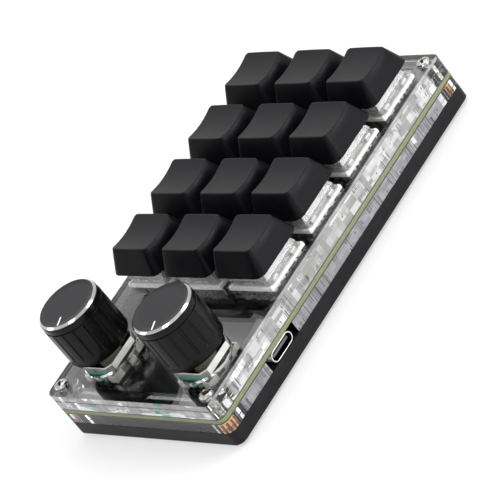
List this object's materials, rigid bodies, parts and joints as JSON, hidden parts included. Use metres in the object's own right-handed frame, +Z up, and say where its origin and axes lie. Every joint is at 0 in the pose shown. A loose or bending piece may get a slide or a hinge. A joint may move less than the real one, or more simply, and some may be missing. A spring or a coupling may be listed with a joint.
{
  "type": "macro keypad",
  "caption": "Layered clear case on a black base with a grid of black keys on clear switches, push knobs at one end and a USB-C socket on a long side.",
  "frame": {"origin": "middle of the footprint at the underside of the rubber feet", "axes": "+Z up, +Y along the case from the knob end to the far key end, +X across the case towards the USB-C side"},
  "size_m": [0.0616, 0.1172, 0.0347],
  "materials": {
    "rubber": "matte black",
    "black_base": "satin black",
    "clear_case": "clear, polished, acrylic",
    "board": "olive laminate edge under a dark solder mask",
    "brass": "turned, bright",
    "nickel": "nickel plated",
    "steel": "bright sheet and turned metal",
    "black_plastic": "matte",
    "light": "milky lens",
    "copper": "bright",
    "switch_clear": "clear to milky",
    "green_plastic": "green",
    "white_plastic": "off-white",
    "spring_wire": "drawn wire",
    "knob_black": "satin black with a bright bevel",
    "cap_black": "fine matte black"
  },
  "bodies": {
    "case": {"rubber_feet": "rubber", "base_plate": "black_base", "lower_frame": "clear_case", "circuit_board": "board", "upper_frame": "clear_case", "top_plate": "clear_case", "spacers": "brass", "case_screws": "nickel", "usb_shell": "steel", "usb_tongue": "black_plastic", "board_parts": "black_plastic", "key_lights": "light", "hot_swap_sockets": "black_plastic", "switch_contacts": "copper", "switch_bases": "switch_clear", "switch_covers": "switch_clear", "encoder_bases": "green_plastic", "encoder_covers": "steel", "spring_r1c1": "spring_wire", "spring_r1c2": "spring_wire", "spring_r1c3": "spring_wire", "spring_r2c1": "spring_wire", "spring_r2c2": "spring_wire", "spring_r2c3": "spring_wire", "spring_r3c1": "spring_wire", "spring_r3c2": "spring_wire", "spring_r3c3": "spring_wire", "spring_r4c1": "spring_wire", "spring_r4c2": "spring_wire", "spring_r4c3": "spring_wire"},
    "key_r1c1": {"keycap_r1c1": "cap_black", "stem_r1c1": "white_plastic"},
    "key_r1c2": {"keycap_r1c2": "cap_black", "stem_r1c2": "white_plastic"},
    "key_r1c3": {"keycap_r1c3": "cap_black", "stem_r1c3": "white_plastic"},
    "key_r2c1": {"keycap_r2c1": "cap_black", "stem_r2c1": "white_plastic"},
    "key_r2c2": {"keycap_r2c2": "cap_black", "stem_r2c2": "white_plastic"},
    "key_r2c3": {"keycap_r2c3": "cap_black", "stem_r2c3": "white_plastic"},
    "key_r3c1": {"keycap_r3c1": "cap_black", "stem_r3c1": "white_plastic"},
    "key_r3c2": {"keycap_r3c2": "cap_black", "stem_r3c2": "white_plastic"},
    "key_r3c3": {"keycap_r3c3": "cap_black", "stem_r3c3": "white_plastic"},
    "key_r4c1": {"keycap_r4c1": "cap_black", "stem_r4c1": "white_plastic"},
    "key_r4c2": {"keycap_r4c2": "cap_black", "stem_r4c2": "white_plastic"},
    "key_r4c3": {"keycap_r4c3": "cap_black", "stem_r4c3": "white_plastic"},
    "left_push": {"left_push_pin": "white_plastic"},
    "left_dial": {"left_shaft": "steel", "left_knob": "knob_black"},
    "right_push": {"right_push_pin": "white_plastic"},
    "right_dial": {"right_shaft": "steel", "right_knob": "knob_black"}
  },
  "joints": [
    {"name": "key_r1c1_press", "type": "slide", "parent": "case", "child": "key_r1c1", "axis": [0, 0, -1], "range_m": [0, 0.004], "stiffness_N_per_m": 75, "springref_m": -0.004, "deforming": ["spring_r1c1"]},
    {"name": "key_r1c2_press", "type": "slide", "parent": "case", "child": "key_r1c2", "axis": [0, 0, -1], "range_m": [0, 0.004], "stiffness_N_per_m": 75, "springref_m": -0.004, "deforming": ["spring_r1c2"]},
    {"name": "key_r1c3_press", "type": "slide", "parent": "case", "child": "key_r1c3", "axis": [0, 0, -1], "range_m": [0, 0.004], "stiffness_N_per_m": 75, "springref_m": -0.004, "deforming": ["spring_r1c3"]},
    {"name": "key_r2c1_press", "type": "slide", "parent": "case", "child": "key_r2c1", "axis": [0, 0, -1], "range_m": [0, 0.004], "stiffness_N_per_m": 75, "springref_m": -0.004, "deforming": ["spring_r2c1"]},
    {"name": "key_r2c2_press", "type": "slide", "parent": "case", "child": "key_r2c2", "axis": [0, 0, -1], "range_m": [0, 0.004], "stiffness_N_per_m": 75, "springref_m": -0.004, "deforming": ["spring_r2c2"]},
    {"name": "key_r2c3_press", "type": "slide", "parent": "case", "child": "key_r2c3", "axis": [0, 0, -1], "range_m": [0, 0.004], "stiffness_N_per_m": 75, "springref_m": -0.004, "deforming": ["spring_r2c3"]},
    {"name": "key_r3c1_press", "type": "slide", "parent": "case", "child": "key_r3c1", "axis": [0, 0, -1], "range_m": [0, 0.004], "stiffness_N_per_m": 75, "springref_m": -0.004, "deforming": ["spring_r3c1"]},
    {"name": "key_r3c2_press", "type": "slide", "parent": "case", "child": "key_r3c2", "axis": [0, 0, -1], "range_m": [0, 0.004], "stiffness_N_per_m": 75, "springref_m": -0.004, "deforming": ["spring_r3c2"]},
    {"name": "key_r3c3_press", "type": "slide", "parent": "case", "child": "key_r3c3", "axis": [0, 0, -1], "range_m": [0, 0.004], "stiffness_N_per_m": 75, "springref_m": -0.004, "deforming": ["spring_r3c3"]},
    {"name": "key_r4c1_press", "type": "slide", "parent": "case", "child": "key_r4c1", "axis": [0, 0, -1], "range_m": [0, 0.004], "stiffness_N_per_m": 75, "springref_m": -0.004, "deforming": ["spring_r4c1"]},
    {"name": "key_r4c2_press", "type": "slide", "parent": "case", "child": "key_r4c2", "axis": [0, 0, -1], "range_m": [0, 0.004], "stiffness_N_per_m": 75, "springref_m": -0.004, "deforming": ["spring_r4c2"]},
    {"name": "key_r4c3_press", "type": "slide", "parent": "case", "child": "key_r4c3", "axis": [0, 0, -1], "range_m": [0, 0.004], "stiffness_N_per_m": 75, "springref_m": -0.004, "deforming": ["spring_r4c3"]},
    {"name": "left_knob_push", "type": "slide", "parent": "case", "child": "left_push", "axis": [0, 0, -1], "range_m": [0, 0.0005], "stiffness_N_per_m": 1500, "springref_m": -0.001},
    {"name": "left_knob_turn", "type": "hinge", "parent": "left_push", "child": "left_dial", "pos_m": [-0.01765, -0.0438, 0.0142], "axis": [0, 0, 1], "continuous": true},
    {"name": "right_knob_push", "type": "slide", "parent": "case", "child": "right_push", "axis": [0, 0, -1], "range_m": [0, 0.0005], "stiffness_N_per_m": 1500, "springref_m": -0.001},
    {"name": "right_knob_turn", "type": "hinge", "parent": "right_push", "child": "right_dial", "pos_m": [0.01765, -0.0438, 0.0142], "axis": [0, 0, 1], "continuous": true}
  ]
}
